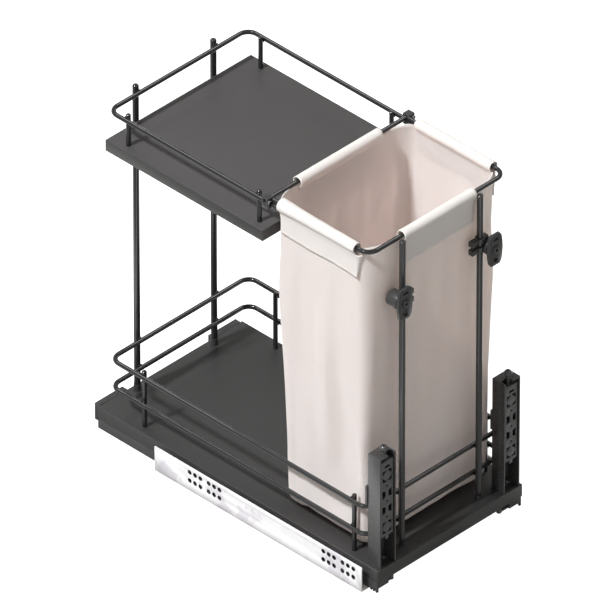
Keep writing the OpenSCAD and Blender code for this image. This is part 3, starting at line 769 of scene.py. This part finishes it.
def in_hem(x, y):
    """How far a point of the top edge lies under a hem, from 0 to 1."""
    along_side = min(y - SIDE_HEM[0], SIDE_HEM[1] - y) if abs(x) > FRAME_X - 12 * MM else -1
    along_x = (FRONT_HEM_X if y < MID_Y else REAR_HEM_X) - abs(x)
    if abs(y - MID_Y) < (REAR_Y - FRONT_Y) / 2 - 8 * MM:
        along_x = -1
    return smooth(max(along_side, along_x) / (4 * MM) + 1)


def bag_shape():
    """Rings from the top edge down the wall, round the bottom edge and in to the middle."""
    half_x, half_y = FRAME_X - WALL_IN, (REAR_Y - FRONT_Y) / 2 - WALL_IN
    points, uvs = [], []
    for level in range(DOWN + 1):
        t = level / DOWN
        z = between(BAG_TOP_Z, BAG_FLOOR_Z, t)
        above_floor = z - BAG_FLOOR_Z
        edge = 0.0
        if above_floor < FLOOR_ROUND:
            edge = FLOOR_ROUND - math.sqrt(max(0, FLOOR_ROUND ** 2
                                               - (FLOOR_ROUND - above_floor) ** 2))
        taper = between(0, TAPER, smooth(t * 1.15)) + edge
        low = smooth((t - 0.04) / 0.3)
        front = tuple(between(a, b, low) for a, b in zip(TOP_CORNER_FRONT, LOW_CORNER))
        rear = tuple(between(a, b, low) for a, b in zip(TOP_CORNER_REAR, LOW_CORNER))
        x, y, nx, ny, at = bag_outline(half_x - taper, half_y - taper, front, rear)
        for i in range(AROUND):
            lift = 0.0
            if level < 3:
                lift = (1 - in_hem(x[i], y[i] + MID_Y)) * RIM_LIFT * (1 - level / 3)
            fold = noise.noise(Vector((at[i] * 17, z * 3.2, 3.7))) * WIDE_FOLD
            fold += noise.noise(Vector((at[i] * 44, z * 7, 9.1))) * FINE_FOLD
            fold = fold * smooth(t * 4) * smooth((1 - t) * 9)
            if fold > 0:
                fold *= 0.7 * smooth((t - 0.09) * 7)
            fold -= FOLD_IN * smooth(t * 3)
            wave = noise.noise(Vector((at[i] * 18, 2.2, 5.1))) * BOTTOM_WAVE * smooth(t * 4 - 3)
            swell = max(0, ny[i]) * REAR_SWELL * smooth((t - 0.1) * 5) * smooth((1 - t) * 6)
            points.append((x[i] + nx[i] * fold, MID_Y + y[i] + ny[i] * fold + swell,
                           z + lift + max(0, wave)))
            uvs.append((at[i], BAG_TOP_Z - z))
    last = points[-AROUND:]
    for ring in range(1, FLOOR_RINGS + 1):
        t = ring / (FLOOR_RINGS + 0.5)
        for i in range(AROUND):
            x, y, z = last[i]
            points.append((x * (1 - t), between(y, MID_Y, t), BAG_FLOOR_Z))
            uvs.append((at[i], BAG_TOP_Z - z + t * 0.1))
    rings = DOWN + 1 + FLOOR_RINGS
    faces = []
    for r in range(rings - 1):
        for i in range(AROUND):
            j = (i + 1) % AROUND
            a, b = r * AROUND, (r + 1) * AROUND
            faces.append((a + i, b + i, b + j, a + j))
    points.append((0, MID_Y, BAG_FLOOR_Z))
    uvs.append((0, 0.6))
    base = (rings - 1) * AROUND
    faces += [(base + i, len(points) - 1, base + (i + 1) % AROUND) for i in range(AROUND)]
    return points, faces, uvs


def cloth_settled(mesh, rest, pin, frames=22, cap=6 * MM):
    """The mesh after a short cloth simulation, no point further than cap from its rest."""
    holder = linked("bag_cloth", mesh)
    group = holder.vertex_groups.new(name="held")
    for index, weight in enumerate(pin):
        if weight > 0:
            group.add([index], weight, "REPLACE")
    cloth = holder.modifiers.new("cloth", "CLOTH")
    settings = cloth.settings
    settings.quality = 6
    settings.mass = 0.35
    settings.tension_stiffness = settings.compression_stiffness = 18
    settings.shear_stiffness = 8
    settings.bending_stiffness = 4
    settings.vertex_group_mass = "held"
    settings.use_pressure = True
    settings.uniform_pressure_force = 0.25
    settings.shrink_min = -0.004
    cloth.collision_settings.use_collision = False
    cloth.point_cache.frame_start, cloth.point_cache.frame_end = 1, frames
    scene = bpy.context.scene
    for number in range(1, frames + 1):
        scene.frame_set(number)
    depsgraph = bpy.context.evaluated_depsgraph_get()
    moved = bpy.data.meshes.new_from_object(holder.evaluated_get(depsgraph))
    co = np.zeros(len(moved.vertices) * 3)
    moved.vertices.foreach_get("co", co)
    co = co.reshape(-1, 3)
    bpy.data.objects.remove(holder)
    scene.frame_set(1)
    step = co - rest
    size = np.linalg.norm(step, axis=1, keepdims=True)
    return rest + step * np.minimum(1, cap / np.maximum(size, 1e-9))


def uv_map(mesh, uvs, seam):
    """A UV map in metres from one pair per point. Across the seam, u goes on round."""
    layer = mesh.uv_layers.new(name="cloth")
    for face in mesh.polygons:
        us = [uvs[mesh.loops[i].vertex_index][0] for i in face.loop_indices]
        wraps = max(us) - min(us) > seam / 2
        for i in face.loop_indices:
            u, v = uvs[mesh.loops[i].vertex_index]
            layer.data[i].uv = (u + seam if wraps and u < seam / 2 else u, v)


def make_bag():
    points, faces, uvs = bag_shape()
    rest = np.array(points)
    mesh = mesh_from("bag_cloth", points, faces)
    pin = np.zeros(len(points))
    for level in range(6):
        pin[level * AROUND:(level + 1) * AROUND] = 1 - max(0, level - 2) / 4
    held = cloth_settled(mesh, rest, pin)
    free = held[3 * AROUND:]
    front_limit = np.where(free[:, 2] < GALLERY_TOP_Z, GALLERY_IN_Y, FRONT_Y + WALL_CLEAR)
    free[:, 1] = np.clip(free[:, 1], front_limit, REAR_Y + 8 * MM)
    free[:, 0] = np.clip(free[:, 0], WALL_CLEAR - FRAME_X, FRAME_X - WALL_CLEAR)
    mesh = mesh_from("bag_cloth", held, faces)
    uv_map(mesh, uvs, 2 * (2 * FRAME_X + REAR_Y - FRONT_Y))
    mesh = with_modifiers(mesh, ("SUBSURF", {"levels": 1, "render_levels": 1}),
                          ("SOLIDIFY", {"thickness": SHEET_T, "offset": 0,
                                        "use_even_offset": True}))
    mesh.shade_smooth()
    piece = add_piece("bag_canvas", mesh, CLOTH, "rack")
    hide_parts("bag")
    return piece


def hem_profile():
    """The hem's section as (outward, up) from the wire's axis: a roll and then a flap."""
    roll_r, flap = 6.5, (FRAME_Z - FLAP_Z) / MM
    line = [(-1.1, -12.5), (-1.5, -9.8)]
    for degrees in range(228, -62, -18):
        a = math.radians(degrees)
        line.append((roll_r * math.cos(a), roll_r * math.sin(a)))
    line += [(2.5, -9), (1.7, -12), (1.1, -16), (0.7, -22), (0.4, -28), (0.25, -flap + 5),
             (0.15, -flap + 0.5)]
    return [(n * MM, z * MM) for n, z in line]


def stitch_row(name, row, seed):
    """Stitches along a row of points."""
    seam = bpy.data.meshes.new(name)
    seam.from_pydata([tuple(p) for p in row], [(i, i + 1) for i in range(len(row) - 1)], [])
    stitches = realised(seam, STITCHES, {
        "Pitch": 3.4 * MM, "Length": 2.5 * MM, "Thickness": 0.28 * MM, "Spread": 0.12,
        "Seed": seed, "Thread": THREAD})
    return add_piece(name, stitches, None, "rack")


def hem_piece(name, start, end, outward, tail=0.0, seed=0.0, flare=0.0):
    """A rolled hem from start to end. outward points away from the bag's inside."""
    profile = hem_profile()
    along = Vector(end) - Vector(start)
    count = max(12, int(along.length / (3.4 * MM)))
    points, uvs = [], []
    out, up = Vector(outward), Vector((0, 0, 1))
    way = along.normalized()
    lengths = [0.0]
    for a, b in zip(profile, profile[1:]):
        lengths.append(lengths[-1] + math.hypot(b[0] - a[0], b[1] - a[1]))
    for i in range(count + 1):
        t = i / count
        for k, (n, z) in enumerate(profile):
            drop = max(0.0, (-z - 9 * MM) / (32 * MM))
            place = Vector((i * 0.21, k * 0.17, seed))
            ripple = abs(noise.noise(place * 1.3)) * 2.0 * MM * drop if n > 0 else 0
            plump = 1 + 0.05 * noise.noise(Vector((i * 0.3, seed, k * 0.4))) + flare * t ** 3
            if abs(z) < 8 * MM:
                n, z = n * plump, z * plump
            sag = noise.noise(Vector((i * 0.12, 5.5, seed))) * 1.2 * MM * drop
            point = Vector(start) + along * t + out * (n + ripple) + up * (z + sag)
            points.append(point)
            uvs.append((along.length * t, lengths[k]))
    faces = []
    m = len(profile)
    for i in range(count):
        for k in range(m - 1):
            a, b = i * m + k, (i + 1) * m + k
            faces.append((a, a + 1, b + 1, b))
    lift = out * (SHEET_T / 2 + 0.12 * MM)
    row = [points[i * m + m - 2] + lift for i in range(count + 1)]
    stitch_row(name + "_stitches", row, int(seed * 10))
    if tail:
        points, uvs, faces = with_tail(points, uvs, faces, m, count, way, out, tail)
    mesh = mesh_from(name, points, faces)
    uv_map(mesh, uvs, 100)
    if out.cross(way).z > 0:
        mesh.flip_normals()
    mesh = with_modifiers(mesh, ("SUBSURF", {"levels": 1, "render_levels": 1}),
                          ("SOLIDIFY", {"thickness": SHEET_T, "offset": 0}))
    mesh.shade_smooth()
    return add_piece(name, mesh, HEM_CLOTH, "rack")


def with_tail(points, uvs, faces, m, count, way, out, tail):
    """Adds a tapering end of the flap that wraps round the bag's corner at the start."""
    neck = next(k for k in range(m) if uvs[k][1] > 0 and points[k].z < FRAME_Z - 8 * MM
                and k > m // 2)
    base = points[:m]
    columns = 4
    previous = list(range(neck, m))
    for c in range(1, columns + 1):
        share = c / columns
        turn = math.radians(75) * share
        row = []
        for r, k in enumerate(range(neck, m)):
            left = 1 - r / (m - 1 - neck)
            reach = tail * share * max(0.04, left)
            point = base[k] - way * reach * math.cos(turn) - out * reach * math.sin(turn)
            row.append(len(points))
            points.append(point)
            uvs.append((-reach, uvs[k][1]))
        for r in range(len(row) - 1):
            faces.append((row[r], row[r + 1], previous[r + 1], previous[r]))
        previous = row
    return points, uvs, faces


bag_piece = make_bag()
hems = [
    hem_piece("left_hem", (-FRAME_X, SIDE_HEM[0], FRAME_Z), (-FRAME_X, SIDE_HEM[1], FRAME_Z),
              (-1, 0, 0), tail=15 * MM, seed=1.3, flare=0.28),
    hem_piece("right_hem", (FRAME_X, SIDE_HEM[0], FRAME_Z), (FRAME_X, SIDE_HEM[1], FRAME_Z),
              (1, 0, 0), tail=11 * MM, seed=4.1),
    hem_piece("front_hem", (-FRONT_HEM_X, FRONT_Y, FRAME_Z), (FRONT_HEM_X, FRONT_Y, FRAME_Z),
              (0, -1, 0), seed=7.7),
    hem_piece("rear_hem", (-REAR_HEM_X, REAR_Y, FRAME_Z), (REAR_HEM_X, REAR_Y, FRAME_Z),
              (0, 1, 0), seed=11.9),
]
for hem in hems:
    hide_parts("bag_hems")
CORNERS_SAVE, RIM_ABOVE, HALF_BOTTOM, WALL_SET_IN = 30 * MM, 6 * MM, 60 * MM, 8 * MM
bag_around = 2 * (2 * FRAME_X + REAR_Y - FRONT_Y) - CORNERS_SAVE
bag_height = BAG_TOP_Z - BAG_FLOOR_Z + RIM_ABOVE
bottom_area = 2 * (FRAME_X - WALL_SET_IN) * (REAR_Y - FRONT_Y - 2 * WALL_SET_IN)
bag_around * bag_height + bottom_area

# Room, light and camera

TARGET = Vector((-0.0026, 0.0026, 0.240))
VIEW = Vector((-0.5753, -0.5673, 0.5892)).normalized()
LENS, SENSOR, DISTANCE = 1200, 36, 24.13
BAR_REACH, BAR_PLACE, BAR_HALF = 0.24, 0.57, 0.1


def backdrop_material():
    """A pale floor that shows as white and still keeps a soft shadow, with patches that glow for
    glossy rays only as painted reflections.
    """
    material = bpy.data.materials.new("pale_floor")
    material.use_nodes = True
    g = Graph(material.node_tree)
    material.node_tree.nodes.clear()
    seen = g.add("ShaderNodeLightPath", output="Is Camera Ray")
    glossy = g.add("ShaderNodeLightPath", output="Is Glossy Ray")
    paper = g.add("ShaderNodeBsdfDiffuse", {}, {"Color": (0.33, 0.325, 0.32, 1)})
    x, y, _ = g.split(g.add("ShaderNodeTexCoord", output="Object"))
    right, near = g.rise(x, 0.12, 8), g.rise(y, -0.34, 12)
    left, far_left = g.rise(x * -1.0, 0.16, 8), g.rise(x * -1.0, 0.32, 8)
    # Painted reflections: patches of floor to the right and left glow only for glossy rays.
    reflection_glow = (right * near * 1.6 + left * (far_left * -1.9 + 2.0) + 0.06) * glossy
    strength = seen * 1.15 + reflection_glow
    white = g.add("ShaderNodeEmission", {}, {"Color": (1, 1, 1, 1), "Strength": strength})
    g.end("ShaderNodeOutputMaterial", g.add("ShaderNodeAddShader", {}, [paper, white]))
    return material


def make_floor():
    size = 6.0
    z = -0.0005
    mesh = mesh_from("floor", [(-size, -size, z), (size, -size, z), (size, size, z),
                               (-size, size, z)], [(0, 1, 2, 3)], smooth=False)
    mesh.materials.append(backdrop_material())
    linked("floor", mesh)


def make_world():
    world = bpy.data.worlds.new("studio")
    bpy.context.scene.world = world
    world.use_nodes = True
    g = Graph(world.node_tree)
    world.node_tree.nodes.clear()
    camera = g.add("ShaderNodeLightPath", output="Is Camera Ray")
    glossy = g.add("ShaderNodeLightPath", output="Is Glossy Ray")
    through = g.add("ShaderNodeLightPath", output="Is Transmission Ray")
    fill = g.add("ShaderNodeBackground", {}, {"Color": (1, 0.985, 0.94, 1), "Strength": 0.35})
    white = g.add("ShaderNodeBackground", {}, {"Color": (1, 1, 1, 1), "Strength": 1.2})
    direct = (camera + through).clamped()
    x, y, z = g.split(g.add("ShaderNodeTexCoord", output="Generated"))
    bars = [g.rise(wide.maths("ABSOLUTE") * -1.0, -BAR_REACH, 10)
            * g.rise((thin - BAR_PLACE).maths("ABSOLUTE") * -1.0, -BAR_HALF, 20)
            for wide, thin in ((x, y), (y, x))]
    over = (bars[0] + bars[1]) * z.above(0)
    share = (direct + glossy * 0.12).clamped()
    both = g.add("ShaderNodeMixShader", {}, [share, fill, white])
    strip = g.add("ShaderNodeBackground", {}, {"Color": (1, 1, 1, 1), "Strength": 7.0})
    both = g.add("ShaderNodeMixShader", {}, [(glossy * over).clamped(), both, strip])
    g.end("ShaderNodeOutputWorld", both)


def add_sun(strength, place, angle):
    """A sun that shines from this place towards the object."""
    lamp = bpy.data.lights.new("key", "SUN")
    lamp.energy, lamp.angle = strength, angle
    holder = linked("key", lamp)
    holder.location = place
    holder.rotation_euler = (-Vector(place)).to_track_quat("-Z", "Y").to_euler()


make_floor()
make_world()
add_sun(3.6, (-1.0, 0.14, 1.42), math.radians(5))

camera_data = bpy.data.cameras.new("camera")
camera_data.lens, camera_data.sensor_width = LENS, SENSOR
camera = linked("camera", camera_data)
camera.location = TARGET + VIEW * DISTANCE
camera.rotation_euler = (-VIEW).to_track_quat("-Z", "Y").to_euler()
bpy.context.scene.camera = camera
bpy.context.scene.view_settings.view_transform = "Standard"
